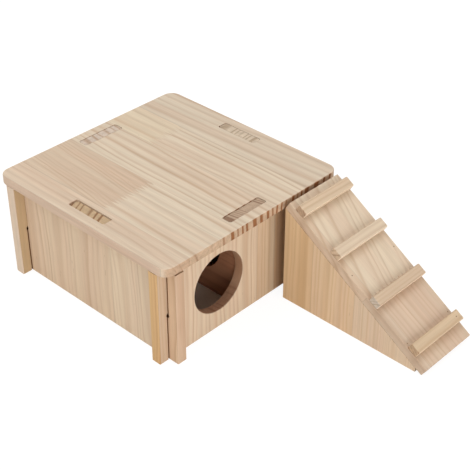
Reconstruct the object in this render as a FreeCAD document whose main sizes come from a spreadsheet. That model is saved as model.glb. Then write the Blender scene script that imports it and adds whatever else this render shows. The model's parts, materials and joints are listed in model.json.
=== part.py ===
import FreeCAD, Part
import math
import os
import re

import Sketcher

# A small-pet house: four interlocking wall boards, a divider and a lift-off roof, with a
# free-standing ramp beside the entrance. Millimetres. +X is the side with the entrance and
# the ramp, +Y is its right-hand side, +Z is up. The origin is on the ground, in the middle
# of the whole outline.

doc = FreeCAD.newDocument("HamsterHouse")

# Driving sizes: name, value, what it is.
SIZES = [
    ("roofLength", 200, "roof along X; the left and right walls are as long"),
    ("roofWidth", 200, "roof along Y; the door and back walls are as long"),
    ("roofThickness", 8, "roof board"),
    ("roofCorner", 10, "radius of the roof's corners, seen from above"),
    ("roofEdge", 0.8, "rounding along the roof's top and bottom edges"),
    ("wallHeight", 87, "ground to the underside of the roof"),
    ("wallThickness", 9, "wall and divider boards"),
    ("wallInset", 10, "edge of the roof to the outer face of a wall"),
    ("wallEdge", 0.5, "rounding along the walls' upright ends and round the holes"),
    ("leftWallDrop", 1, "the left wall is this much lower, so its tab sits deeper"),
    ("notchTight", 0.2, "gap beside a wall in another's notch, at its inner face"),
    ("notchOpen", 1.1, "gap beside it at its outer face"),
    ("reliefRadius", 2.4, "cutter's radius, at the inner corners of a notch"),
    ("reliefInset", 2, "centre of that cut, inside the notch's side"),
    ("tabLength", 41, "tab on top of each wall"),
    ("doorTabDrop", 0.6, "the door wall's tab ends this far below the roof's top"),
    ("slotCorner", 2, "radius of the slots' upright corners; the tabs' corners follow it"),
    ("slotTightSide", 0.3, "gap beside a tab in its slot, on the front left side"),
    ("slotOpenSide", 0.6, "gap beside it on the back right side"),
    ("slotTightEnd", 0.3, "gap at the end of a tab, on the front left side"),
    ("slotOpenEnd", 1, "gap at the end on the back right side"),
    ("doorDiameter", 55, "entrance, in the door wall"),
    ("doorOffset", 33.5, "middle of the wall to the middle of the entrance, to the left"),
    ("doorHeight", 44, "ground to the middle of the entrance"),
    ("passageDiameter", 55, "passage, in the divider"),
    ("passageOffset", 34.5, "middle of the divider to the middle of the passage, forwards"),
    ("passageHeight", 47, "ground to the middle of the passage"),
    ("dividerDrop", 0.6, "divider's top edge below the roof"),
    ("grooveDepth", 3, "grooves that hold the divider, in the door and back walls"),
    ("grooveEndPlay", 0.3, "end of the divider to the bottom of its groove"),
    ("rampGap", 2.4, "edge of the roof to the back of the ramp"),
    ("rampInset", 10, "right edge of the roof to the ramp's right side"),
    ("rampWidth", 60, "ramp along Y"),
    ("rampRun", 142.4, "ramp's foot to its back, along the ground"),
    ("rampDrop", 5, "roof's top to the underside of the ramp board, at the back"),
    ("rampBoard", 8, "thickness of the ramp board"),
    ("rampSide", 8, "thickness of the ramp's side panels"),
    ("rampEdge", 0.5, "rounding along the edges of the ramp's boards"),
    ("rungEdge", 1, "rounding along the edges of the rungs"),
    ("toeCut", 6, "sharp tip taken off the foot of each side panel"),
    ("rungWidth", 9.6, "rung along the slope"),
    ("rungHeight", 7, "rung above the board"),
    ("firstRung", 7, "top end of the board to the first rung"),
    ("secondRungStep", 43.4, "first rung to the second, along the slope"),
    ("thirdRungStep", 48.2, "second rung to the third"),
    ("fourthRungStep", 46.8, "third rung to the fourth"),
    ("nailDiameter", 1.2, "brads in the ramp"),
    ("nailPlay", 0.1, "hole wider than its brad"),
    ("nailSink", 0.3, "brad's end below the surface"),
    ("sideNailLength", 16, "brads through the board into the side panels"),
    ("sideNailInset", 3, "those brads from the edge of the board"),
    ("upperSideNail", 75.5, "top end of the board to the upper pair"),
    ("lowerSideNail", 25.5, "foot of the board to the lower pair"),
    ("rungNailLength", 12, "brads from below into the rungs"),
    ("rungNailInset", 12, "those brads from the end of the rung"),
    ("topNailLength", 12, "single brad from above in the lowest rung"),
    ("topNailInset", 5.5, "that brad from the end of the rung"),
]

sheet = doc.addObject("Spreadsheet::Sheet", "Sizes")
for row, (name, value, meaning) in enumerate(SIZES, start=1):
    sheet.set(f"A{row}", meaning)
    sheet.set(f"B{row}", str(value))
    sheet.setAlias(f"B{row}", name)
doc.recompute()

SIZE_NAMES = {name for name, _value, _meaning in SIZES}

# Formulas that several pieces share.
RAMP_RISE = "(wallHeight + roofThickness - rampDrop)"
SLOPE_LENGTH = f"sqrt(rampRun ^ 2 + {RAMP_RISE} ^ 2)"
SLOPE_COS = f"(rampRun / {SLOPE_LENGTH})"
SLOPE_SIN = f"({RAMP_RISE} / {SLOPE_LENGTH})"
SLOPE_ANGLE = f"atan({RAMP_RISE} / rampRun)"
HOUSE_X = f"(-(rampGap + rampRun + rampBoard * {SLOPE_SIN}) / 2)"
RAMP_BACK = f"({HOUSE_X} + roofLength / 2 + rampGap)"
RAMP_LEFT = "(roofWidth / 2 - rampInset - rampWidth)"
RUNG_STARTS = [
    "firstRung",
    "(firstRung + secondRungStep)",
    "(firstRung + secondRungStep + thirdRungStep)",
    "(firstRung + secondRungStep + thirdRungStep + fourthRungStep)",
]
UPWARDS = "0 deg"
DOWNWARDS = "180 deg"
UP = FreeCAD.Vector(0, 0, 1)
ALONG_Y = FreeCAD.Vector(0, 1, 0)


def full_names(formula):
    """The formula with each size's name written as the sheet's cell."""
    return re.sub(
        r"[A-Za-z]\w*",
        lambda word: f"Sizes.{word[0]}" if word[0] in SIZE_NAMES else word[0],
        str(formula),
    )


def bind(item, field, formula):
    item.setExpression(field, full_names(formula))


def place(item, x, y, z, axis=UP, angle=0):
    """Puts the item's own origin at x, y, z and turns it about axis by angle."""
    item.Placement = FreeCAD.Placement(FreeCAD.Vector(), FreeCAD.Rotation(axis, 1))
    for field, formula in (("x", x), ("y", y), ("z", z)):
        bind(item, f"Placement.Base.{field}", formula)
    bind(item, "Placement.Rotation.Angle", angle)


def new_sketch(body, plane, name):
    """A sketch on one of the body's own origin planes."""
    sketch = body.newObject("Sketcher::SketchObject", name)
    support = next(item for item in body.Origin.OriginFeatures if item.Role == plane)
    sketch.AttachmentSupport = [(support, "")]
    sketch.MapMode = "FlatFace"
    return sketch


def pin_point(sketch, geometry, end, across, upward):
    """Fixes one point of a sketch at a distance from the sketch's origin."""
    for kind, formula in (("DistanceX", across), ("DistanceY", upward)):
        index = sketch.addConstraint(Sketcher.Constraint(kind, -1, 1, geometry, end, 1.0))
        bind(sketch, f"Constraints[{index}]", formula)


def add_outline(sketch, corners):
    """A closed outline of straight lines through the corners, given as formulas."""
    first = sketch.GeometryCount
    count = len(corners)
    for number in range(count):
        turn = 2 * math.pi * number / count
        next_turn = 2 * math.pi * (number + 1) / count
        start = FreeCAD.Vector(math.cos(turn), math.sin(turn), 0)
        finish = FreeCAD.Vector(math.cos(next_turn), math.sin(next_turn), 0)
        sketch.addGeometry(Part.LineSegment(start, finish), False)
    for number in range(count):
        following = first + (number + 1) % count
        joint = Sketcher.Constraint("Coincident", first + number, 2, following, 1)
        sketch.addConstraint(joint)
    for number, (across, upward) in enumerate(corners):
        pin_point(sketch, first + number, 1, across, upward)


def add_rectangle(sketch, left, right, bottom, top):
    add_outline(sketch, [(left, bottom), (right, bottom), (right, top), (left, top)])


def add_circle(sketch, across, upward, radius):
    circle = Part.Circle(FreeCAD.Vector(1, 1, 0), UP, 1)
    geometry = sketch.addGeometry(circle, False)
    pin_point(sketch, geometry, 3, across, upward)
    index = sketch.addConstraint(Sketcher.Constraint("Radius", geometry, 1.0))
    bind(sketch, f"Constraints[{index}]", radius)


def pad(body, sketch, name, length, backwards=False):
    feature = body.newObject("PartDesign::Pad", name)
    feature.Profile = sketch
    feature.Reversed = backwards
    bind(feature, "Length", length)
    doc.recompute()
    return feature


def pocket(body, sketch, name, length=None, backwards=False):
    """Cuts the sketch out of the body, right through unless a length is given."""
    before = body.Shape.Volume
    feature = body.newObject("PartDesign::Pocket", name)
    feature.Profile = sketch
    feature.Reversed = backwards
    if length is None:
        feature.Type = "ThroughAll"
    else:
        bind(feature, "Length", length)
    doc.recompute()
    if body.Shape.Volume >= before - 1e-6:
        raise RuntimeError(f"{body.Label}: {name} removes nothing")
    return feature


def round_edges(body, name, radius, chosen):
    """Rounds the edges of the body for which chosen(edge) is true."""
    base = body.Tip
    names = [f"Edge{n}" for n, edge in enumerate(base.Shape.Edges, 1) if chosen(edge)]
    feature = body.newObject("PartDesign::Fillet", name)
    feature.Base = (base, names)
    bind(feature, "Radius", radius)
    doc.recompute()
    return feature


def is_flat(edge):
    return edge.BoundBox.ZLength < 1e-6


def is_upright(edge):
    box = edge.BoundBox
    return box.XLength < 1e-6 and box.YLength < 1e-6


def is_rim(edge):
    return isinstance(edge.Curve, Part.Circle) and edge.isClosed()


def at_end(edge, length):
    """True for an upright edge at either end of a board that runs from 0 to length."""
    middle = edge.BoundBox.Center.x
    return is_upright(edge) and min(abs(middle), abs(middle - length)) < 1e-6


def is_inside(edge, outline):
    """True for an upright edge that isn't on the outline's own four sides."""
    middle = edge.BoundBox.Center
    reach_x = min(middle.x - outline.XMin, outline.XMax - middle.x)
    reach_y = min(middle.y - outline.YMin, outline.YMax - middle.y)
    return is_upright(edge) and min(reach_x, reach_y) > 1e-6


def new_body(label):
    body = doc.addObject("PartDesign::Body", label)
    body.Label = label
    return body


def make_roof():
    """Board with rounded corners and four slots, one above the middle of each wall."""
    body = new_body("roof_panel")
    outline = new_sketch(body, "XY_Plane", "RoofOutline")
    add_rectangle(outline, 0, "roofLength", 0, "roofWidth")
    pad(body, outline, "RoofBoard", "roofThickness")
    round_edges(body, "RoofCorners", "roofCorner", is_upright)
    round_edges(body, "RoofEdges", "roofEdge", is_flat)

    near = "wallInset"
    far = "(wallInset + wallThickness)"
    start_x = "(roofLength - tabLength) / 2 - slotOpenEnd"
    finish_x = "(roofLength + tabLength) / 2 + slotTightEnd"
    start_y = "(roofWidth - tabLength) / 2 - slotTightEnd"
    finish_y = "(roofWidth + tabLength) / 2 + slotOpenEnd"
    slots = new_sketch(body, "XY_Plane", "TabSlots")
    for low, high in ((near, far), (f"roofWidth - {far}", f"roofWidth - {near}")):
        add_rectangle(slots, start_x, finish_x,
                      f"{low} - slotTightSide", f"{high} + slotOpenSide")
    for low, high in ((near, far), (f"roofLength - {far}", f"roofLength - {near}")):
        add_rectangle(slots, f"{low} - slotOpenSide", f"{high} + slotTightSide",
                      start_y, finish_y)
    pocket(body, slots, "Slots", backwards=True)
    box = body.Shape.BoundBox
    round_edges(body, "SlotCorners", "slotCorner", lambda edge: is_inside(edge, box))
    place(body, f"{HOUSE_X} - roofLength / 2", "-roofWidth / 2", "wallHeight")
    return body


def make_wall(label, length, open_at, drop="0", tab_drop="0"):
    """Upright board with a tab on top and a half-height notch near each end.

    Its own X runs along the board from 0, its Y from the outer face 0 inwards. A notch is
    loose on its side towards the end of the board, and close on the other.
    """
    body = new_body(label)
    top = f"wallHeight - {drop}"
    tab_left = f"({length} - tabLength) / 2"
    tab_right = f"({length} + tabLength) / 2"
    tab_top = f"{top} + roofThickness - {tab_drop}"
    outline = new_sketch(body, "XZ_Plane", f"{label}_outline")
    add_outline(outline, [
        (0, 0), (length, 0), (length, top), (tab_right, top),
        (tab_right, tab_top), (tab_left, tab_top), (tab_left, top), (0, top),
    ])
    pad(body, outline, f"{label}_board", "wallThickness", backwards=True)

    board_end = body.Shape.BoundBox.XMax
    round_edges(body, f"{label}_tab", "slotCorner - slotTightSide",
                lambda edge: is_upright(edge) and not at_end(edge, board_end))

    if open_at == "bottom":
        notch_end = "wallHeight / 2 + notchTight / 2"
        low, high = "0", notch_end
    else:
        notch_end = "wallHeight / 2 - notchTight / 2"
        low, high = notch_end, top
    notches = new_sketch(body, "XZ_Plane", f"{label}_notches")
    reliefs = new_sketch(body, "XZ_Plane", f"{label}_reliefs")
    outer = "(wallInset - notchOpen)"
    inner = "(wallInset + wallThickness + notchTight)"
    for left, right in ((outer, inner), (f"{length} - {inner}", f"{length} - {outer}")):
        add_rectangle(notches, left, right, low, high)
        add_circle(reliefs, f"{left} + reliefInset", notch_end, "reliefRadius")
        add_circle(reliefs, f"{right} - reliefInset", notch_end, "reliefRadius")
    pocket(body, notches, f"{label}_halvings")
    pocket(body, reliefs, f"{label}_relief_cuts")
    return body


def cut_hole(body, middle, height, diameter):
    """Round hole through an upright board."""
    hole = new_sketch(body, "XZ_Plane", f"{body.Label}_hole")
    add_circle(hole, middle, height, f"{diameter} / 2")
    pocket(body, hole, f"{body.Label}_opening")


def cut_groove(body, length):
    """Upright groove for the divider, in the middle of a wall's inner face."""
    groove = new_sketch(body, "XY_Plane", f"{body.Label}_groove")
    half = "(wallThickness / 2 + notchTight)"
    add_rectangle(groove, f"{length} / 2 - {half}", f"{length} / 2 + {half}",
                  "wallThickness - grooveDepth", "wallThickness")
    pocket(body, groove, f"{body.Label}_divider_groove", "wallHeight", backwards=True)


def finish_board(body):
    """Rounds an upright board's ends and the rims of its hole."""
    length = body.Shape.BoundBox.XMax
    round_edges(body, f"{body.Label}_ends", "wallEdge", lambda edge: at_end(edge, length))
    if any(is_rim(edge) for edge in body.Shape.Edges):
        round_edges(body, f"{body.Label}_rims", "wallEdge", is_rim)


def make_walls():
    """The four walls: the door and back ones drop over the left and right ones."""
    left = make_wall("left_wall", "roofLength", "top", drop="leftWallDrop")
    finish_board(left)
    place(left, f"{HOUSE_X} - roofLength / 2", "wallInset - roofWidth / 2", 0)

    right = make_wall("right_wall", "roofLength", "top")
    finish_board(right)
    place(right, f"{HOUSE_X} + roofLength / 2", "roofWidth / 2 - wallInset", 0, angle=180)

    door = make_wall("door_wall", "roofWidth", "bottom", tab_drop="doorTabDrop")
    cut_hole(door, "roofWidth / 2 - doorOffset", "doorHeight", "doorDiameter")
    cut_groove(door, "roofWidth")
    finish_board(door)
    place(door, f"{HOUSE_X} + roofLength / 2 - wallInset", "-roofWidth / 2", 0, angle=90)

    back = make_wall("back_wall", "roofWidth", "bottom")
    cut_groove(back, "roofWidth")
    finish_board(back)
    place(back, f"{HOUSE_X} - roofLength / 2 + wallInset", "roofWidth / 2", 0, angle=270)
    return [left, right, door, back]


def make_divider():
    """Board with a round passage that stands in the grooves of the door and back walls."""
    body = new_body("divider")
    margin = "(wallInset + wallThickness - grooveDepth + grooveEndPlay)"
    length = f"(roofLength - 2 * {margin})"
    outline = new_sketch(body, "XZ_Plane", "DividerOutline")
    add_rectangle(outline, 0, length, 0, "wallHeight - dividerDrop")
    pad(body, outline, "DividerBoard", "wallThickness", backwards=True)
    cut_hole(body, f"{length} / 2 + passageOffset", "passageHeight", "passageDiameter")
    finish_board(body)
    place(body, f"{HOUSE_X} - {length} / 2", "-wallThickness / 2", 0)
    return body


def place_on_slope(item, along, across, above, turned=UPWARDS):
    """Puts an item on the ramp: along the slope from its top end, across from its left
    side, and above the board's underside, all at right angles. turned adds to its tilt."""
    place(
        item,
        f"{RAMP_BACK} + ({along}) * {SLOPE_COS} + ({above}) * {SLOPE_SIN}",
        f"{RAMP_LEFT} + {across}",
        f"{RAMP_RISE} - ({along}) * {SLOPE_SIN} + ({above}) * {SLOPE_COS}",
        ALONG_Y,
        f"{SLOPE_ANGLE} + {turned}",
    )


def make_pins(name, spots, length, play, extra, turned):
    """Brads or their holes, as cylinders square to the slope.

    Each spot is the point where the brad starts, and the cylinder reaches back past it by
    extra. It points away from the board's face, up or down as turned says.
    """
    pins = []
    for number, (along, across, above) in enumerate(spots, start=1):
        pin = doc.addObject("Part::Cylinder", f"{name}_{number}")
        bind(pin, "Radius", f"(nailDiameter + {play}) / 2")
        bind(pin, "Height", f"{length} + {extra}")
        shift = f"({above}) - {extra}" if turned == UPWARDS else f"({above}) + {extra}"
        place_on_slope(pin, along, across, shift, turned)
        pins.append(pin)
    group = doc.addObject("Part::Compound", name)
    group.Label = name
    group.Links = pins
    return group


def make_nails():
    """Three groups of brads, and one group of holes that fits all of them."""
    board_top = "rampBoard - nailSink"
    side_rows = ["upperSideNail", f"({SLOPE_LENGTH} - lowerSideNail)"]
    side_spots = [(along, across, board_top)
                  for along in side_rows
                  for across in ("sideNailInset", "rampWidth - sideNailInset")]
    rung_spots = [(f"{start} + rungWidth / 2", across, "nailSink")
                  for start in RUNG_STARTS
                  for across in ("rungNailInset", "rampWidth - rungNailInset")]
    rung_top = "rampBoard + rungHeight - nailSink"
    top_spots = [(f"{RUNG_STARTS[-1]} + rungWidth / 2", "rampWidth - topNailInset", rung_top)]

    groups = []
    holes = []
    for label, spots, length, turned in (
        ("side_nails", side_spots, "sideNailLength", DOWNWARDS),
        ("rung_nails", rung_spots, "rungNailLength", UPWARDS),
        ("top_nail", top_spots, "topNailLength", DOWNWARDS),
    ):
        groups.append(make_pins(label, spots, length, "0", "0", turned))
        hole_length = f"({length} + nailPlay)"
        holes.append(make_pins(f"{label}_holes", spots, hole_length, "nailPlay",
                               "nailSink", turned))
    drill = doc.addObject("Part::Compound", "nail_holes")
    drill.Links = holes
    return groups, drill


def drilled(body, drill, label):
    """The body with the nail holes cut out, as the piece that is kept."""
    cut = doc.addObject("Part::Cut", f"{label}_drilled")
    cut.Base = body
    cut.Tool = drill
    cut.Label = label
    return cut


def make_block(name, length, width, height, edge_radius):
    """Plain board or bar from its own origin, with all its edges rounded."""
    body = new_body(name)
    outline = new_sketch(body, "XY_Plane", f"{name}_outline")
    add_rectangle(outline, 0, length, 0, width)
    pad(body, outline, f"{name}_board", height)
    round_edges(body, f"{name}_edges", edge_radius, lambda edge: True)
    return body


def make_ramp_sides(drill):
    """Two upright panels under the board, with the tip of the foot cut off."""
    pieces = []
    toe = f"toeCut * {RAMP_RISE} / rampRun"
    for label, across in (("ramp_side_left", "0"),
                          ("ramp_side_right", "rampWidth - rampSide")):
        body = new_body(f"{label}_panel")
        outline = new_sketch(body, "XZ_Plane", f"{label}_outline")
        add_outline(outline, [(0, 0), ("rampRun - toeCut", 0), ("rampRun - toeCut", toe),
                              (0, RAMP_RISE)])
        pad(body, outline, f"{label}_board", "rampSide", backwards=True)
        round_edges(body, f"{label}_back", "rampEdge", lambda edge: at_end(edge, 0))
        place(body, RAMP_BACK, f"{RAMP_LEFT} + {across}", 0)
        pieces.append(drilled(body, drill, label))
    return pieces


def make_ramp():
    """Sloping board on the two side panels, with four rungs across it and its nails."""
    nails, drill = make_nails()
    pieces = nails + make_ramp_sides(drill)
    board = make_block("ramp_board_blank", SLOPE_LENGTH, "rampWidth", "rampBoard", "rampEdge")
    place_on_slope(board, 0, 0, 0)
    pieces.append(drilled(board, drill, "ramp_board"))
    for number, start in enumerate(RUNG_STARTS, start=1):
        rung = make_block(f"rung_{number}_blank", "rungWidth", "rampWidth", "rungHeight",
                          "rungEdge")
        place_on_slope(rung, start, 0, "rampBoard")
        pieces.append(drilled(rung, drill, f"ramp_rung_{number}"))
    return pieces


pieces = [make_roof()] + make_walls() + [make_divider()] + make_ramp()
doc.recompute()

for item in doc.Objects:
    if "Invalid" in item.State or "Error" in item.State:
        raise RuntimeError(f"{item.Label} failed: {item.State}")
for piece in pieces:
    if piece.Shape.isNull() or not piece.Shape.isValid():
        raise RuntimeError(f"{piece.Label} has no valid shape")

os.makedirs("parts", exist_ok=True)
for piece in pieces:
    piece.Shape.exportStep(f"parts/{piece.Label}.step")
    box = piece.Shape.BoundBox
    print(f"{piece.Label}: {len(piece.Shape.Solids)} solid(s), {piece.Shape.Volume:.0f} mm3, "
          f"x {box.XMin:.2f}..{box.XMax:.2f}, y {box.YMin:.2f}..{box.YMax:.2f}, "
          f"z {box.ZMin:.2f}..{box.ZMax:.2f}")
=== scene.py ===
import json
import math

import bpy
import numpy as np
from mathutils import Euler, Matrix, Vector


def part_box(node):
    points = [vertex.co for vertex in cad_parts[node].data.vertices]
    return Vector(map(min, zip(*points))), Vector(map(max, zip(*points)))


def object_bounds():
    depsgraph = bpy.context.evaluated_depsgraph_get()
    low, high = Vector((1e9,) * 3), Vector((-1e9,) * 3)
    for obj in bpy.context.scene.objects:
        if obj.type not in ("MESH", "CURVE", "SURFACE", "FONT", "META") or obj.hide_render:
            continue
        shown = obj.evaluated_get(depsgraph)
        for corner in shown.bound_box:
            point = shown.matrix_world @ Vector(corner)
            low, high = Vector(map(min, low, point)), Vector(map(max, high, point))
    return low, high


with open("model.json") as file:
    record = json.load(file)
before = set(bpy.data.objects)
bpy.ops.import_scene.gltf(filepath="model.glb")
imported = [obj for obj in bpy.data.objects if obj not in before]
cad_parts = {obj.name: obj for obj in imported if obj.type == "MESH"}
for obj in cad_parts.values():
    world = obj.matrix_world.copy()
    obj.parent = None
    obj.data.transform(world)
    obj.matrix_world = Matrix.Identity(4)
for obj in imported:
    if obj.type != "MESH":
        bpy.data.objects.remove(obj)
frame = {"nodes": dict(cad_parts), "record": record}
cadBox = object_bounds()
mm = 0.001               # metres in a millimetre
print("frame loaded:", len(frame["nodes"]), "pieces")

camera = {
    "place": (519.74, -549.74, 593.41),   # mm
    "turn": (55.095, -0.086, 43.400),     # degrees round X, then Y, then Z
    "lens": 87.515,                       # mm
    "sensor": 36.0,                       # mm wide
    "farthest": 50.0,                     # metres
}

room = {
    "floorSize": 8.0,                     # metres
    "floorColour": (238, 236, 233),
    "patchColour": (241, 239, 237),       # of the floor's faint patches
    "patchStretch": (9.0, 9.0, 9.0),      # waves per metre
    "patchLevel": (0.3, 0.7),
    "floorLit": 0.20,                     # share of the lamps' light on the floor that the camera sees
    "floorGlow": 0.90,                    # even white added outside the house
    "insideBounceTint": (1.0, 0.94, 0.86),      # painted warm light, as if bounced off the wood, on the floor inside the house
    "glowEdge": 4.0,                      # mm over which that white fades at the walls
    "farGlow": 0.08,                      # more of it far from the object, where no lamp reaches
    "farFrom": (0.7, 2.2),                # metres
    "skyColour": (255, 253, 250),
    "skyLight": 0.24,
}

# Azimuth from +X towards +Y and height are in degrees, the rest in metres and watts.
lamps = {
    "overheadBox": {"azimuth": -120, "height": 72, "away": 1.7, "size": (1.8, 1.8), "power": 16.2},
    "frontBox": {"azimuth": -12, "height": 14, "away": 1.8, "size": (2.0, 1.0), "power": 16.2},
    "sideBox": {"azimuth": -88, "height": 14, "away": 1.8, "size": (1.2, 0.8), "power": 7.4},
    "rightBox": {"azimuth": 72, "height": 40, "away": 1.8, "size": (1.2, 1.0), "power": 8.2},
    "rearBox": {"azimuth": 168, "height": 12, "away": 1.8, "size": (0.8, 0.7), "power": 8.0},
}


# Screen values from 0 to 255 become linear light: the sRGB curve, undone.
def linear(colour):
    share = np.array(colour) / 255.0
    light = np.where(share <= 0.04045, share / 12.92, ((share + 0.055) / 1.055) ** 2.4)
    return (*light.tolist(), 1.0)


def link(thing):
    bpy.context.scene.collection.objects.link(thing)
    return thing


def addCamera():
    lens = bpy.data.cameras.new("camera")
    lens.lens = camera["lens"]
    lens.sensor_width = camera["sensor"]
    lens.clip_end = camera["farthest"]
    view = link(bpy.data.objects.new("camera", lens))
    view.location = Vector(camera["place"]) * mm
    view.rotation_euler = Euler([math.radians(angle) for angle in camera["turn"]])
    bpy.context.scene.camera = view


# A lamp stands on a sphere round the middle of the object and looks at it.
def addLamp(name, lamp):
    middle = (cadBox[0] + cadBox[1]) / 2
    azimuth = math.radians(lamp["azimuth"])
    height = math.radians(lamp["height"])
    level = math.cos(height)
    outward = Vector((math.cos(azimuth) * level, math.sin(azimuth) * level, math.sin(height)))
    light = bpy.data.lights.new(name, "AREA")
    light.shape = "RECTANGLE"
    light.size, light.size_y = lamp["size"]
    light.energy = lamp["power"]
    holder = link(bpy.data.objects.new(name, light))
    holder.location = middle + outward * lamp["away"]
    holder.rotation_euler = outward.to_track_quat("Z", "Y").to_euler()


pureWhite = (1.0, 1.0, 1.0, 1.0)
nodeGap = 190            # from one shader node to the next in the editor


def emptyTree(holder):
    holder.use_nodes = True
    holder.node_tree.nodes.clear()
    return holder.node_tree


# One shader node. Each input is set to a value or joined to another node's output.
def addNode(tree, kind, feeds=(), **settings):
    node = tree.nodes.new("ShaderNode" + kind)
    node.location.x = nodeGap * len(tree.nodes)
    for setting, value in settings.items():
        setattr(node, setting, value)
    for socket, value in dict(feeds).items():
        if isinstance(value, bpy.types.NodeSocket):
            tree.links.new(value, node.inputs[socket])
        else:
            node.inputs[socket].default_value = value
    return node


def calc(tree, operation, *terms, clamp=False):
    return addNode(tree, "Math", enumerate(terms), operation=operation, use_clamp=clamp).outputs[0]


def calcVector(tree, operation, *terms):
    node = addNode(tree, "VectorMath", enumerate(terms), operation=operation)
    return node.outputs["Value" if operation in ("LENGTH", "DOT_PRODUCT") else "Vector"]


def scaled(tree, vector, factor):
    return addNode(tree, "VectorMath", {0: vector, "Scale": factor}, operation="SCALE").outputs[0]


mixSockets = {"FLOAT": (2, 3, 0), "VECTOR": (4, 5, 1), "RGBA": (6, 7, 2)}      # first, second and result


def mix(tree, kind, factor, first, second, how="MIX"):
    one, two, result = mixSockets[kind]
    feeds = {0: factor, one: first, two: second}
    return addNode(tree, "Mix", feeds, data_type=kind, blend_type=how).outputs[result]


# Where the mask is 1, the colour is multiplied by the shade.
def shaded(tree, mask, colour, shade):
    return mix(tree, "RGBA", mask, colour, shade, "MULTIPLY")


# A smooth step that goes from 0 at the low value to 1 at the high one.
def step(tree, value, low, high):
    feeds = {"Value": value, "From Min": low, "From Max": high}
    return addNode(tree, "MapRange", feeds, interpolation_type="SMOOTHSTEP").outputs["Result"]


def addNoise(tree, point, stretch, detail=1.0, roughness=0.5, give="Fac"):
    placed = calcVector(tree, "MULTIPLY", point, stretch)
    feeds = {"Vector": placed, "Scale": 1.0, "Detail": detail, "Roughness": roughness}
    return addNode(tree, "TexNoise", feeds).outputs[give]


def addRamp(tree, factor, stops):
    node = addNode(tree, "ValToRGB", {"Fac": factor})
    ramp = node.color_ramp
    ramp.elements[0].position = stops[0][0]
    ramp.elements[1].position = stops[-1][0]
    for place, _ in stops[1:-1]:
        ramp.elements.new(place)
    for element, (_, grey) in zip(ramp.elements, stops):
        element.color = (grey, grey, grey, 1.0)
    return node.outputs["Color"]


def newGroup(name, takes, gives):
    group = bpy.data.node_groups.new(name, "ShaderNodeTree")
    kinds = {1: "NodeSocketFloat", 3: "NodeSocketVector", 4: "NodeSocketColor"}
    for label, start in takes.items():
        kind = kinds[1 if isinstance(start, float) else len(start)]
        group.interface.new_socket(name=label, in_out="INPUT", socket_type=kind).default_value = start
    for label, kind in gives.items():
        group.interface.new_socket(name=label, in_out="OUTPUT", socket_type="NodeSocket" + kind)
    return group, group.nodes.new("NodeGroupInput").outputs, group.nodes.new("NodeGroupOutput").inputs


def useGroup(tree, name, feeds):
    return addNode(tree, "Group", feeds, node_tree=bpy.data.node_groups[name]).outputs


rings = {
    "wanderStretch": (7.0, 15.0, 15.0),     # waves per metre along and across the grain
    "tremorStretch": (22.0, 60.0, 60.0),
    "tremor": 0.25,                         # small waves as a share of the large ones
    "crowding": 0.34,                       # waves of narrow and wide rings per ring
    "crowdShift": 3.6,                      # rings by which the largest wave moves them
    "profile": ((0.0, 0.6), (0.1, 0.12), (0.35, 0.0), (0.62, 0.25), (0.88, 1.0), (1.0, 0.6)),
    "faintest": 0.32,                       # strength of the palest ring
    "patchStretch": (5.0, 55.0, 55.0),
}

origin = (0.0, 0.0, 0.0)
ringTakes = {"Point": origin, "Slope": 0.0, "Ring Width": 6 * mm, "Wander": 8 * mm, "Unevenness": 1.0}


# Noise from -0.5 to 0.5 in each direction.
def addWaves(tree, point, stretch):
    return calcVector(tree, "SUBTRACT", addNoise(tree, point, stretch, give="Color"), (0.5, 0.5, 0.5))


# Rings are cylinders round the pith, which lies on the grain's own X axis. A point's ring number is its
# distance from the pith over the ring width: the same rings are lines along a face and arcs on an end.
def makeGrowthRings():
    tree, taken, given = newGroup("growthRings", ringTakes, {"Late": "Float", "Patch": "Float"})
    waves = addWaves(tree, taken["Point"], rings["wanderStretch"])
    tremor = scaled(tree, addWaves(tree, taken["Point"], rings["tremorStretch"]), rings["tremor"])
    both = scaled(tree, calcVector(tree, "ADD", waves, tremor), taken["Wander"])
    bent = calcVector(tree, "ADD", taken["Point"], both)
    parts = addNode(tree, "SeparateXYZ", {0: bent}).outputs
    aside = calc(tree, "MULTIPLY_ADD", parts["X"], taken["Slope"], parts["Y"])
    section = addNode(tree, "CombineXYZ", {"Y": aside, "Z": parts["Z"]}).outputs[0]
    count = calc(tree, "DIVIDE", calcVector(tree, "LENGTH", section), taken["Ring Width"])
    crowd = calc(tree, "MULTIPLY", count, rings["crowding"])
    feeds = {"W": crowd, "Scale": 1.0, "Detail": 0.0}
    crowd = addNode(tree, "TexNoise", feeds, noise_dimensions="1D").outputs[0]
    crowd = calc(tree, "MULTIPLY", crowd, taken["Unevenness"])
    count = calc(tree, "MULTIPLY_ADD", crowd, rings["crowdShift"], count)
    feeds = {"W": calc(tree, "FLOOR", count)}
    chance = addNode(tree, "TexWhiteNoise", feeds, noise_dimensions="1D").outputs["Value"]
    strength = calc(tree, "MULTIPLY_ADD", chance, 1.0 - rings["faintest"], rings["faintest"])
    profile = addRamp(tree, calc(tree, "FRACT", count), rings["profile"])
    late = calc(tree, "MULTIPLY", profile, strength)
    patch = addNoise(tree, taken["Point"], rings["patchStretch"])
    tree.links.new(late, given["Late"])
    tree.links.new(patch, given["Patch"])


fibres = {
    "fineStretch": (45.0, 1250.0, 1250.0),  # waves per metre along and across the grain
    "broadStretch": (11.0, 300.0, 300.0),
    "fleckStretch": (150.0, 1100.0, 1100.0),
    "fleckLevel": (0.84, 0.90),
}


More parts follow.
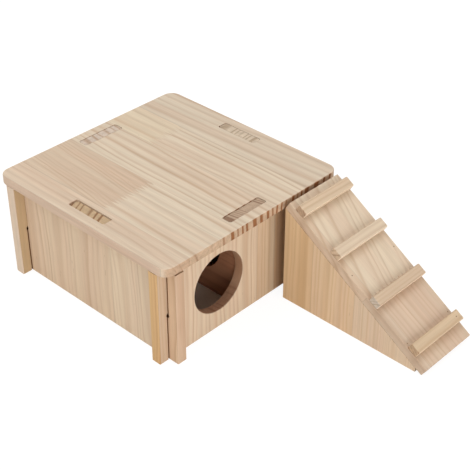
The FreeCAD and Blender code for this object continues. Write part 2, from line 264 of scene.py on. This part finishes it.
# Fibres are noise drawn out along the grain, and flecks are the few peaks of a shorter one: resin ducts.
def makeFibres():
    gives = {"Fibre": "Float", "Fleck": "Float"}
    tree, taken, given = newGroup("woodFibres", {"Point": origin}, gives)
    fine = addNoise(tree, taken["Point"], fibres["fineStretch"], detail=2.0, roughness=0.6)
    broad = addNoise(tree, taken["Point"], fibres["broadStretch"])
    both = calc(tree, "MULTIPLY", calc(tree, "ADD", fine, broad), 0.5)
    flecks = addNoise(tree, taken["Point"], fibres["fleckStretch"], detail=0.0)
    tree.links.new(both, given["Fibre"])
    tree.links.new(step(tree, flecks, *fibres["fleckLevel"]), given["Fleck"])


endFacing = (0.45, 0.85)                    # cosines of the angle between a normal and the grain


# A face square to the grain shows cut ends: the mask rises as the normal turns towards the grain.
def makeEndFaces():
    takes = {"Normal": (0.0, 0.0, 1.0), "Along": (1.0, 0.0, 0.0)}
    tree, taken, given = newGroup("endFaces", takes, {"End": "Float"})
    facing = calc(tree, "ABSOLUTE", calcVector(tree, "DOT_PRODUCT", taken["Normal"], taken["Along"]))
    tree.links.new(step(tree, facing, *endFacing), given["End"])


wearAndHighlight = {
    "radius": 1.2,                          # mm of an edge that the sanding and the painted highlight reach
    "samples": 6,
    "turned": (0.03, 0.28),                 # one less the cosine between the bevelled and true normals
    "patchStretch": (60.0, 260.0, 260.0),
    "patchLevel": (0.3, 0.65),
}


# Sanded edges, with a painted highlight on them as well: the mask is 1 where the bevelled normal leaves the
# true one, and noise breaks it up.
def makeEdgeWearAndHighlight():
    takes = {"Point": origin, "Normal": (0.0, 0.0, 1.0)}
    tree, taken, given = newGroup("edgeWearAndHighlight", takes, {"Edge": "Float"})
    bevel = addNode(tree, "Bevel", {"Radius": wearAndHighlight["radius"] * mm}, samples=wearAndHighlight["samples"])
    likeness = calcVector(tree, "DOT_PRODUCT", bevel.outputs["Normal"], taken["Normal"])
    wornAndLit = step(tree, calc(tree, "SUBTRACT", 1.0, likeness), *wearAndHighlight["turned"])
    patches = addNoise(tree, taken["Point"], wearAndHighlight["patchStretch"], detail=2.0)
    patches = step(tree, patches, *wearAndHighlight["patchLevel"])
    tree.links.new(calc(tree, "MULTIPLY", wornAndLit, patches), given["Edge"])


boxFade = (0.05, 0.15)                      # mm past a box over which its mask fades


# The mask is 1 for points inside a box, whose half size is its reach from its middle in X, Y and Z.
def makeInsideBox():
    takes = {"Point": origin, "Middle": origin, "Half": origin}
    tree, taken, given = newGroup("insideBox", takes, {"Inside": "Float"})
    away = calcVector(tree, "ABSOLUTE", calcVector(tree, "SUBTRACT", taken["Point"], taken["Middle"]))
    over = addNode(tree, "SeparateXYZ", {0: calcVector(tree, "SUBTRACT", away, taken["Half"])}).outputs
    most = calc(tree, "MAXIMUM", calc(tree, "MAXIMUM", over["X"], over["Y"]), over["Z"])
    past = step(tree, most, *(fade * mm for fade in boxFade))
    tree.links.new(calc(tree, "SUBTRACT", 1.0, past), given["Inside"])


finish = {
    "jointPaintedShade": (0.52, 0.34, 0.22),      # painted shade where two boards cross, darkening the gaps between them
    "borePaintedShade": (0.76, 0.56, 0.47),       # painted shade inside the round entrance
    "roomPaintedShade": (0.94, 0.86, 0.80),       # painted shade on faces towards the inside of the house
    "rungFootPaintedShade": (0.89, 0.86, 0.83),       # painted shade on the ramp just below each rung
    "rungFootShadeOffset": 6.3,                       # mm from a rung's middle down the slope to the darkest place
    "rungFootShadeReach": 8.0,                      # mm over which the painted shade fades
    "blushLevel": (0.42, 0.68),
    "endLevel": (0.1, 0.75),               # how strong rings have to be to show on a cut end
    "fleckColour": (120, 84, 56),
    "fleckStrength": 0.35,
    "endSwing": 1.2,                       # fibres stand out this much more on cut ends
    "seamShade": 0.22,
    # lighter edges: sanding wear and a painted highlight
    "edgeColour": (238, 220, 194),
    "edgeStrength": 0.35,
    "dryRoughness": 0.70,
    "lateRoughness": 0.52,
    "endRoughness": 0.86,
    "edgeRoughness": 0.58,
    "lateHeight": 0.5,
    "fibreHeight": 0.5,
    "seamDepth": 0.6,
    "bumpStrength": 0.35,
    "bumpHeight": 0.25,                    # mm
    "specular": 0.3,
}

woodColours = {                            # inputs of the wood finish, and each board's names for them
    "Early": "early",
    "Late": "late",
    "Blush": "blush",
    "End Early": "endEarly",
    "End Late": "endLate",
}


# Colour of bare wood: early wood turns to late wood with the rings, patches shift it towards the blush,
# fibres lighten and darken it, and cut ends have colours of their own. Late wood and fibres stand up, and
# the seams between staves lie low.
def makeWoodFinish():
    takes = {
        **ringTakes,
        **dict.fromkeys(("End", "Edge", "Joint"), 0.0),
        **dict.fromkeys(("Tint", *woodColours), pureWhite),
        **dict.fromkeys(("Ring Strength", "End Strength", "Blush Strength", "Fibre Strength"), 1.0),
    }
    gives = {"Color": "Color", "Roughness": "Float", "Height": "Float"}
    tree, taken, given = newGroup("woodFinish", takes, gives)
    grown = useGroup(tree, "growthRings", {name: taken[name] for name in ringTakes})
    strands = useGroup(tree, "woodFibres", {"Point": taken["Point"]})
    late = calc(tree, "MULTIPLY", grown["Late"], taken["Ring Strength"], clamp=True)
    blush = step(tree, grown["Patch"], *finish["blushLevel"])
    blush = calc(tree, "MULTIPLY", blush, taken["Blush Strength"])
    face = mix(tree, "RGBA", blush, taken["Early"], taken["Blush"])
    face = mix(tree, "RGBA", late, face, taken["Late"])
    endLate = calc(tree, "MULTIPLY", grown["Late"], taken["End Strength"])
    endLate = step(tree, endLate, *finish["endLevel"])
    end = mix(tree, "RGBA", endLate, taken["End Early"], taken["End Late"])
    colour = mix(tree, "RGBA", taken["End"], face, end)
    colour = shaded(tree, 1.0, colour, taken["Tint"])
    fleck = calc(tree, "MULTIPLY", strands["Fleck"], finish["fleckStrength"])
    colour = mix(tree, "RGBA", fleck, colour, linear(finish["fleckColour"]))
    swing = calc(tree, "SUBTRACT", strands["Fibre"], 0.5)
    swing = calc(tree, "MULTIPLY", swing, taken["Fibre Strength"])
    swing = calc(tree, "MULTIPLY", swing, calc(tree, "MULTIPLY_ADD", taken["End"], finish["endSwing"], 1.0))
    shade = calc(tree, "MULTIPLY_ADD", swing, 2.0, 1.0)
    seam = calc(tree, "MULTIPLY_ADD", taken["Joint"], -finish["seamShade"], 1.0)
    colour = scaled(tree, colour, calc(tree, "MULTIPLY", shade, seam))
    wornAndLit = calc(tree, "MULTIPLY", taken["Edge"], finish["edgeStrength"])
    colour = mix(tree, "RGBA", wornAndLit, colour, linear(finish["edgeColour"]))
    rough = mix(tree, "FLOAT", late, finish["dryRoughness"], finish["lateRoughness"])
    rough = mix(tree, "FLOAT", taken["End"], rough, finish["endRoughness"])
    rough = mix(tree, "FLOAT", taken["Edge"], rough, finish["edgeRoughness"])
    relief = calc(tree, "MULTIPLY", strands["Fibre"], finish["fibreHeight"])
    relief = calc(tree, "MULTIPLY_ADD", late, finish["lateHeight"], relief)
    relief = calc(tree, "MULTIPLY_ADD", taken["Joint"], -finish["seamDepth"], relief)
    tree.links.new(colour, given["Color"])
    tree.links.new(rough, given["Roughness"])
    tree.links.new(relief, given["Height"])


plainStave = {"slope": 0.0, "rings": 1.0, "ends": 1.0, "tint": (1.0, 1.0, 1.0), "seam": True}
seamWidth = 0.6                            # mm
logStep = 0.37                             # metres along the grain from one log's pattern to the next


# Staves that are glued into a board. Each one takes over from the stave before it past its own edge and
# joint, and brings its own pith, slope, ring width, strengths and tint. Staves with the same log number
# match at their edge. A finger joint's line goes to and fro like a triangle wave across the stave.
def addStaves(tree, point, board):
    parts = addNode(tree, "SeparateXYZ", {0: point}).outputs
    fingers = board["fingers"]
    half = fingers["pitch"] * mm / 2
    wave = calc(tree, "DIVIDE", calc(tree, "PINGPONG", parts["Y"], half), half)
    along = calc(tree, "MULTIPLY_ADD", wave, -fingers["length"] * mm, parts["X"])
    picked = None
    for number, stave in enumerate(board["staves"]):
        full = {**plainStave, **stave}
        side, depth = full["pith"]
        own = {
            "shift": ("VECTOR", (logStep * full.get("log", number), -side * mm, -depth * mm)),
            "slope": ("FLOAT", full["slope"]),
            "width": ("FLOAT", full["width"] * mm),
            "rings": ("FLOAT", full["rings"]),
            "ends": ("FLOAT", full["ends"]),
            "tint": ("RGBA", (*full["tint"], 1.0)),
            "line": ("FLOAT", 0.0),
        }
        if picked is None:
            picked = {key: value for key, (_, value) in own.items()}
            continue
        beyond = 1.0
        if "edge" in stave:
            beyond = calc(tree, "SUBTRACT", parts["Y"], stave["edge"] * mm)
        if "joint" in stave:
            beyond = calc(tree, "MINIMUM", beyond, calc(tree, "SUBTRACT", along, stave["joint"] * mm))
        there = calc(tree, "GREATER_THAN", beyond, 0.0)
        if full["seam"]:
            past = step(tree, beyond, 0.0, seamWidth * mm)
            own["line"] = ("FLOAT", calc(tree, "SUBTRACT", 1.0, past))
        picked = {key: mix(tree, kind, there, picked[key], value) for key, (kind, value) in own.items()}
    picked["point"] = calcVector(tree, "ADD", point, picked["shift"])
    return picked


crossings = {                              # boards whose joints a board passes through
    "left_wall": ("door_wall", "back_wall"),
    "right_wall": ("door_wall", "back_wall"),
    "door_wall": ("left_wall", "right_wall", "divider"),
    "back_wall": ("left_wall", "right_wall", "divider"),
    "divider": ("door_wall", "back_wall"),
}


# The space between the four walls, from the floor to the roof.
def insideHouse():
    low = Vector((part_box("back_wall")[1].x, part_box("left_wall")[1].y, 0.0))
    high = Vector((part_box("door_wall")[0].x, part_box("right_wall")[0].y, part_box("roof_panel")[0].z))
    return low, high


# Boxes in which a board gets painted shade: its joints, the room inside the house and the round entrance.
def shadedBoxes(node):
    boxes = [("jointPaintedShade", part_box(other)) for other in crossings.get(node, ())]
    if node in crossings or node == "roof_panel":
        boxes.append(("roomPaintedShade", insideHouse()))
    if node == "door_wall":
        mount = next(mount for mount in frame["record"]["mounts"] if mount["name"] == "entrance")
        middle = Vector(mount["pos_m"])
        reach = mount["dims"]["r_mm"] * mm
        half = Vector((mount["dims"]["length_mm"] * mm / 2, reach, reach))
        boxes.append(("borePaintedShade", (middle - half, middle + half)))
    return boxes


def middleOf(node):
    low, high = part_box(node)
    return (low + high) / 2


# The grain's own frame: X along the fibres, Y across the wide face, centred on the board.
def grainFrame(node, board):
    along = Vector(board["along"]).normalized()
    across = Vector(board["across"]).normalized()
    turn = Matrix((along, across, along.cross(across))).transposed()
    return middleOf(node), turn.to_euler(), along


rungNodes = sorted(node for node in frame["nodes"] if node.startswith("ramp_rung_"))       # downwards
downhill = (middleOf(rungNodes[-1]) - middleOf(rungNodes[0])).normalized()


# The mask of painted shade is 1 at the downhill foot of every rung. Distances run down the slope from the
# board's middle.
def paintedFootShade(tree, point):
    along = addNode(tree, "SeparateXYZ", {0: point}).outputs["X"]
    nearest = 1.0
    for node in rungNodes:
        foot = (middleOf(node) - middleOf("ramp_board")).dot(downhill) + finish["rungFootShadeOffset"] * mm
        away = calc(tree, "ABSOLUTE", calc(tree, "SUBTRACT", along, foot))
        nearest = calc(tree, "MINIMUM", nearest, away)
    return calc(tree, "SUBTRACT", 1.0, step(tree, nearest, 0.0, finish["rungFootShadeReach"] * mm))


def woodMaterial(name, node, board):
    material = bpy.data.materials.new(name)
    tree = emptyTree(material)
    middle, turn, along = grainFrame(node, board)
    place = addNode(tree, "TexCoord").outputs
    feeds = {"Vector": place["Object"], "Location": middle, "Rotation": turn}
    point = addNode(tree, "Mapping", feeds, vector_type="TEXTURE").outputs[0]
    stave = addStaves(tree, point, board)
    end = useGroup(tree, "endFaces", {"Normal": place["Normal"], "Along": along})["End"]
    trueNormal = addNode(tree, "NewGeometry").outputs["Normal"]
    edge = useGroup(tree, "edgeWearAndHighlight", {"Point": point, "Normal": trueNormal})["Edge"]
    look = {
        "Point": stave["point"],
        "Slope": stave["slope"],
        "Ring Width": stave["width"],
        "Ring Strength": stave["rings"],
        "End Strength": stave["ends"],
        "Tint": stave["tint"],
        "Joint": stave["line"],
        "End": end,
        "Edge": edge,
        "Wander": board["wander"] * mm,
        "Unevenness": board["unevenness"],
        "Blush Strength": board["blushStrength"],
        "Fibre Strength": board["fibreStrength"],
    }
    for socket, key in woodColours.items():
        look[socket] = linear(board[key])
    made = useGroup(tree, "woodFinish", look)
    colour = made["Color"]
    # Painted shade: inside each box the colour is multiplied by that box's shade.
    for shade, (lowest, highest) in shadedBoxes(node):
        feeds = {"Point": place["Object"], "Middle": (lowest + highest) / 2, "Half": (highest - lowest) / 2}
        inside = useGroup(tree, "insideBox", feeds)["Inside"]
        colour = shaded(tree, inside, colour, (*finish[shade], 1.0))
    # Painted shade at the downhill foot of every rung.
    if node == "ramp_board":
        colour = shaded(tree, paintedFootShade(tree, point), colour, (*finish["rungFootPaintedShade"], 1.0))
    strength, distance = finish["bumpStrength"], finish["bumpHeight"] * mm
    feeds = {"Height": made["Height"], "Strength": strength, "Distance": distance}
    bump = addNode(tree, "Bump", feeds).outputs[0]
    feeds = {
        "Base Color": colour,
        "Roughness": made["Roughness"],
        "Normal": bump,
        "Specular IOR Level": finish["specular"],
    }
    shader = addNode(tree, "BsdfPrincipled", feeds).outputs[0]
    addNode(tree, "OutputMaterial", {"Surface": shader})
    return material


def dress(node, material):
    mesh = frame["nodes"][node].data
    mesh.materials.clear()
    mesh.materials.append(material)


pine = {                                   # shared by every board that doesn't say otherwise
    "early": (220, 203, 180),
    "late": (184, 150, 119),
    "blush": (213, 185, 160),
    "endEarly": (204, 172, 140),
    "endLate": (140, 92, 58),
    "wander": 9.0,
    "unevenness": 0.75,
    "blushStrength": 0.45,
    "fibreStrength": 0.18,
    "fingers": {"length": 0.0, "pitch": 4.0},                # mm
}

skin = 99.3              # mm from the middle of a long board: past it lies only its end or side face
tabFoot = 41.5           # mm above the middle of a wall: above it lies only its tab

# In every stave the edge, the joint and the pith are places in mm from the middle of the board, and the
# width is that of a ring, in mm.
reddish = {"log": 4, "pith": (150, 3), "slope": 0.03, "width": 7.0, "rings": 0.7, "ends": 1.8}

roof = {
    **pine,
    "along": (1, 0, 0),
    "across": (0, 1, 0),
    "unevenness": 0.4,
    "fibreStrength": 0.24,
    "endEarly": (199, 170, 142),
    "endLate": (148, 98, 62),
    "fingers": {"length": 8.0, "pitch": 3.2},
    "staves": (
        {"pith": (-210, -60), "slope": 0.03, "width": 7.0, "rings": 0.5, "tint": (0.88, 0.80, 0.785)},
        {"edge": -skin, "pith": (-210, -60), "slope": 0.03, "width": 7.0, "rings": 0.6, "ends": 0.6,
         "tint": (0.98, 0.95, 0.94)},
        {"edge": -75, "pith": (-150, -60), "slope": 0.10, "width": 4.4, "rings": 0.5, "ends": 0.6,
         "tint": (0.92, 0.87, 0.84)},
        {"edge": -75, "joint": 0, "pith": (-170, -60), "slope": 0.02, "width": 7.4, "rings": 0.6,
         "ends": 0.5},
        {**reddish, "edge": -42, "joint": 0},
        {**reddish, "edge": -23},
        {"edge": 20, "log": 5, "pith": (190, -40), "width": 13.0, "rings": 0.6, "tint": (1.0, 0.99, 0.95)},
        {"edge": 20, "joint": -48, "log": 6, "pith": (170, -6), "width": 6.8, "rings": 0.75, "ends": 1.8},
        {"edge": 58, "log": 7, "pith": (210, -16), "slope": -0.04, "width": 8.5, "rings": 0.7, "ends": 2.0,
         "tint": (0.95, 0.955, 0.965)},
    ),
}

leftWall = {
    **pine,
    "along": (0, 0, 1),
    "across": (1, 0, 0),
    "early": (217, 194, 166),
    "endEarly": (194, 166, 132),
    "endLate": (144, 106, 74),
    "wander": 14.0,
    "unevenness": 1.2,
    "staves": (
        {"pith": (-150, -85), "width": 7.0, "rings": 0.65},
        {"edge": 26, "pith": (150, 60), "width": 6.0, "rings": 0.68, "slope": 0.04,
         "tint": (1.04, 1.07, 1.09)},
        {"edge": 89, "pith": (40, 60), "width": 3.6, "rings": 0.8, "tint": (1.0, 0.94, 0.89)},
        {"edge": skin, "pith": (40, 20), "width": 3.2, "rings": 0.7, "tint": (0.95, 0.86, 0.83)},
        {"joint": tabFoot, "pith": (-150, -85), "width": 6.5, "ends": 1.35},
    ),
}

rightWall = {
    **pine,
    "along": (0, 0, 1),
    "across": (1, 0, 0),
    "endEarly": (208, 189, 166),
    "endLate": (176, 154, 130),
    "staves": (
        {"pith": (140, -20), "width": 5.5, "rings": 0.6},
        {"edge": -30, "pith": (-90, -60), "width": 6.5, "rings": 0.5},
        {"joint": tabFoot, "pith": (170, 6), "width": 5.2, "ends": 1.2},
    ),
}

doorWall = {
    **pine,
    "along": (0, 0, 1),
    "across": (0, 1, 0),
    "early": (218, 195, 168),
    "late": (186, 146, 112),
    "endEarly": (185, 159, 135),
    "endLate": (141, 110, 88),
    "staves": (
        {"pith": (-110, 12), "width": 4.4, "rings": 0.8, "tint": (0.92, 0.77, 0.52)},
        {"edge": -skin, "pith": (-160, 50), "width": 4.0, "rings": 0.6, "tint": (0.90, 0.86, 0.83)},
        {"edge": -86, "pith": (-190, -20), "width": 5.2, "rings": 0.75, "ends": 0.7,
         "tint": (1.06, 1.08, 1.10)},
        {"edge": 11, "log": 3, "pith": (160, -20), "width": 4.6, "rings": 0.6, "tint": (1.03, 1.00, 0.94)},
        # painted shade: from here the wall is tinted darker and browner, like the shade beside the ramp
        {"edge": 32.5, "log": 3, "pith": (160, -20), "width": 4.6, "rings": 0.6, "tint": (1.00, 0.85, 0.70),
         "seam": False},
        {"joint": tabFoot, "pith": (-190, -14), "width": 4.8, "ends": 1.3},
    ),
}

backWall = {
    **pine,
    "along": (0, 0, 1),
    "across": (0, 1, 0),
    "endEarly": (208, 190, 173),
    "endLate": (184, 157, 134),
    "staves": (
        {"pith": (120, 60), "width": 5.5, "rings": 0.4, "tint": (0.97, 0.93, 0.93)},
        {"edge": -skin, "pith": (120, 60), "width": 5.5, "rings": 0.4, "tint": (0.82, 0.72, 0.56)},
        {"edge": -86, "pith": (120, 60), "width": 5.5, "rings": 0.55},
        {"edge": -40, "pith": (-150, 20), "width": 6.0, "rings": 0.5},
        {"edge": 45, "pith": (10, 90), "width": 5.0, "rings": 0.6},
        {"joint": tabFoot, "pith": (-180, 12), "width": 7.0, "ends": 1.4},
    ),
}

# Painted shade: the divider's wood is darker and redder than the other boards', like the shade inside the
# house.
divider = {
    **pine,
    "along": (1, 0, 0),
    "across": (0, 0, 1),
    "early": (200, 149, 117),
    "late": (161, 107, 78),
    "blush": (191, 138, 107),
    "staves": (
        {"pith": (-90, -50), "width": 6.0, "rings": 0.5},
        {"edge": 8, "pith": (100, 40), "width": 5.5, "rings": 0.5},
    ),
}

upperStave = {"log": 0, "pith": (-90, -60), "slope": 0.28, "width": 6.4, "rings": 0.55}
lowerStave = {"log": 1, "joint": 12, "pith": (90, -60), "width": 4.6, "rings": 0.5}

rampBoard = {
    **pine,
    "along": downhill,
    "across": (0, 1, 0),
    "early": (220, 200, 174),
    "fingers": {"length": 4.0, "pitch": 5.0},
    "staves": (
        {**upperStave, "tint": (0.885, 0.83, 0.81)},
        {**upperStave, "edge": -24, "tint": (0.97, 0.985, 1.0)},
        {**lowerStave, "tint": (0.85, 0.825, 0.835)},
        {**lowerStave, "edge": -24, "tint": (0.89, 0.85, 0.85)},
    ),
}

rampSideLeft = {
    **pine,
    "along": (0, 0, 1),
    "across": (1, 0, 0),
    "early": (218, 193, 161),
    "late": (188, 150, 108),
    "unevenness": 1.3,
    "staves": (
        {"pith": (-180, 40), "width": 6.0, "rings": 0.55, "tint": (0.98, 0.91, 0.80)},
        {"edge": -38, "pith": (-170, -50), "width": 5.2, "rings": 0.6, "tint": (0.99, 0.95, 0.90)},
        {"edge": 6, "pith": (-170, -50), "width": 4.8, "rings": 0.45, "tint": (0.95, 0.95, 1.0)},
    ),
}

rampSideRight = {
    **pine,
    "along": (0, 0, 1),
    "across": (1, 0, 0),
    "staves": (
        {"pith": (140, 40), "width": 5.5, "rings": 0.6},
        {"edge": 5, "pith": (-120, -50), "width": 6.0, "rings": 0.6},
    ),
}

rung = {
    **pine,
    "along": (0, 1, 0),
    "across": downhill,
    "wander": 4.0,
    "early": (226, 206, 180),
    "endEarly": (195, 167, 141),
    "endLate": (166, 134, 107),
}


frontFaceDepth = 4.4          # mm from the middle of a rung: past it lies only its downhill face


# A rung's downhill face gets a paler tint than its other faces: painted light on that face.
def rungStaves(stave, frontLightTint):
    otherFaces = {**stave, "log": 0}
    return otherFaces, {**otherFaces, "edge": frontFaceDepth, "seam": False, "tint": frontLightTint}


rungs = (
    {"staves": rungStaves({"pith": (20, -30), "width": 3.2, "rings": 0.5, "tint": (0.85, 0.81, 0.76)},
                          (1.09, 1.08, 1.08))},
    {"staves": rungStaves({"pith": (-35, -25), "width": 3.0, "rings": 0.4, "tint": (0.90, 0.90, 0.89)},
                          (1.15, 1.18, 1.21)),
     "endEarly": (209, 182, 153), "endLate": (180, 151, 124)},
    {"staves": rungStaves({"pith": (30, 20), "width": 3.4, "rings": 0.5, "tint": (0.82, 0.78, 0.74)},
                          (1.13, 1.12, 1.13)),
     "endEarly": (213, 201, 186), "endLate": (184, 168, 150)},
    {"staves": rungStaves({"pith": (-15, 40), "width": 3.8, "rings": 0.6, "tint": (0.865, 0.83, 0.75)},
                          (1.10, 1.11, 1.06))},
)


brad = {
    "colour": (140, 120, 100),
    "rust": (116, 86, 62),
    "speckStretch": (1800.0, 1800.0, 1800.0),
    "speckLevel": (0.45, 0.62),
    "roughness": (0.38, 0.75),             # of the steel and of the rust
    "metallic": 0.9,
    "bumpStrength": 0.3,
    "bumpHeight": 0.05,                    # mm
}


# A brad's head is dull drawn steel with brown specks.
def bradMaterial():
    material = bpy.data.materials.new("bradSteel")
    tree = emptyTree(material)
    place = addNode(tree, "TexCoord").outputs["Object"]
    specks = addNoise(tree, place, brad["speckStretch"], detail=3.0, roughness=0.6)
    mask = step(tree, specks, *brad["speckLevel"])
    colour = mix(tree, "RGBA", mask, linear(brad["colour"]), linear(brad["rust"]))
    rough = mix(tree, "FLOAT", mask, *brad["roughness"])
    feeds = {"Height": specks, "Strength": brad["bumpStrength"], "Distance": brad["bumpHeight"] * mm}
    bump = addNode(tree, "Bump", feeds).outputs[0]
    feeds = {"Base Color": colour, "Roughness": rough, "Metallic": brad["metallic"], "Normal": bump}
    shader = addNode(tree, "BsdfPrincipled", feeds).outputs[0]
    addNode(tree, "OutputMaterial", {"Surface": shader})
    return material


# The floor is lit by the lamps. For the camera an even white is added to it, but not inside the house,
# where it is tinted warmer instead: painted light, as if bounced off the wood.
def floorMaterial():
    material = bpy.data.materials.new("paleFloor")
    tree = emptyTree(material)
    low = Vector((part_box("back_wall")[0].x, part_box("left_wall")[0].y, 0.0))
    high = Vector((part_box("door_wall")[1].x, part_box("right_wall")[1].y, 0.0))
    middle = (low + high) / 2
    half = (high - low) / 2
    place = addNode(tree, "TexCoord").outputs["Object"]
    away = calcVector(tree, "ABSOLUTE", calcVector(tree, "SUBTRACT", place, (middle.x, middle.y, 0.0)))
    away = addNode(tree, "SeparateXYZ", {0: away}).outputs
    pastEnds = calc(tree, "SUBTRACT", away["X"], half.x)
    pastSides = calc(tree, "SUBTRACT", away["Y"], half.y)
    past = calc(tree, "MAXIMUM", pastEnds, pastSides)
    outside = step(tree, past, -room["glowEdge"] * mm, 0.0)
    seen = addNode(tree, "LightPath").outputs["Is Camera Ray"]
    dim = mix(tree, "FLOAT", calc(tree, "MULTIPLY", seen, outside), 1.0, room["floorLit"])
    patches = addNoise(tree, place, room["patchStretch"], detail=3.0)
    patches = step(tree, patches, *room["patchLevel"])
    paint = mix(tree, "RGBA", patches, linear(room["floorColour"]), linear(room["patchColour"]))
    bounceTint = mix(tree, "RGBA", outside, (*room["insideBounceTint"], 1.0), pureWhite)
    paint = scaled(tree, shaded(tree, 1.0, paint, bounceTint), dim)
    matte = addNode(tree, "BsdfDiffuse", {"Color": paint}).outputs[0]
    far = step(tree, calcVector(tree, "LENGTH", place), *room["farFrom"])
    white = calc(tree, "MULTIPLY_ADD", far, room["farGlow"], room["floorGlow"])
    glow = calc(tree, "MULTIPLY", calc(tree, "MULTIPLY", seen, outside), white)
    lit = addNode(tree, "Emission", {"Color": pureWhite, "Strength": glow}).outputs[0]
    both = addNode(tree, "AddShader", {0: matte, 1: lit}).outputs[0]
    addNode(tree, "OutputMaterial", {"Surface": both})
    return material


def addFloor():
    half = room["floorSize"] / 2
    mesh = bpy.data.meshes.new("floor")
    corners = [(x * half, y * half, 0.0) for x, y in ((-1, -1), (1, -1), (1, 1), (-1, 1))]
    mesh.from_pydata(corners, [], [(0, 1, 2, 3)])
    mesh.materials.append(floorMaterial())
    link(bpy.data.objects.new("floor", mesh))


# The sky lights the object softly, and is plain white wherever it is seen or mirrored.
def addSky():
    world = bpy.data.worlds.new("sky")
    bpy.context.scene.world = world
    tree = emptyTree(world)
    feeds = {"Color": linear(room["skyColour"]), "Strength": room["skyLight"]}
    light = addNode(tree, "Background", feeds).outputs[0]
    white = addNode(tree, "Background", {"Color": pureWhite, "Strength": 1.0}).outputs[0]
    path = addNode(tree, "LightPath").outputs
    seen = calc(tree, "MAXIMUM", path["Is Camera Ray"], path["Is Transmission Ray"])
    seen = calc(tree, "MAXIMUM", seen, path["Is Glossy Ray"])
    both = addNode(tree, "MixShader", {0: seen, 1: light, 2: white}).outputs[0]
    addNode(tree, "OutputWorld", {"Surface": both})


bpy.context.scene.view_settings.view_transform = "Standard"
addCamera()
addSky()
addFloor()
for name, lamp in lamps.items():
    addLamp(name, lamp)
print("camera, floor and", len(lamps), "lamps in place")

makeGrowthRings()
makeFibres()
makeEndFaces()
makeEdgeWearAndHighlight()
makeInsideBox()
makeWoodFinish()
print("wood node groups built")

boards = {
    "roof_panel": roof,
    "left_wall": leftWall,
    "right_wall": rightWall,
    "door_wall": doorWall,
    "back_wall": backWall,
    "divider": divider,
    "ramp_board": rampBoard,
    "ramp_side_left": rampSideLeft,
    "ramp_side_right": rampSideRight,
}
for node, own in zip(rungNodes, rungs):
    boards[node] = {**rung, **own}
for node, board in boards.items():
    dress(node, woodMaterial(node + "Wood", node, board))
steel = bradMaterial()
bradNodes = ("side_nails", "rung_nails", "top_nail")
for node in bradNodes:
    dress(node, steel)
print("materials on", len(boards) + len(bradNodes), "pieces")
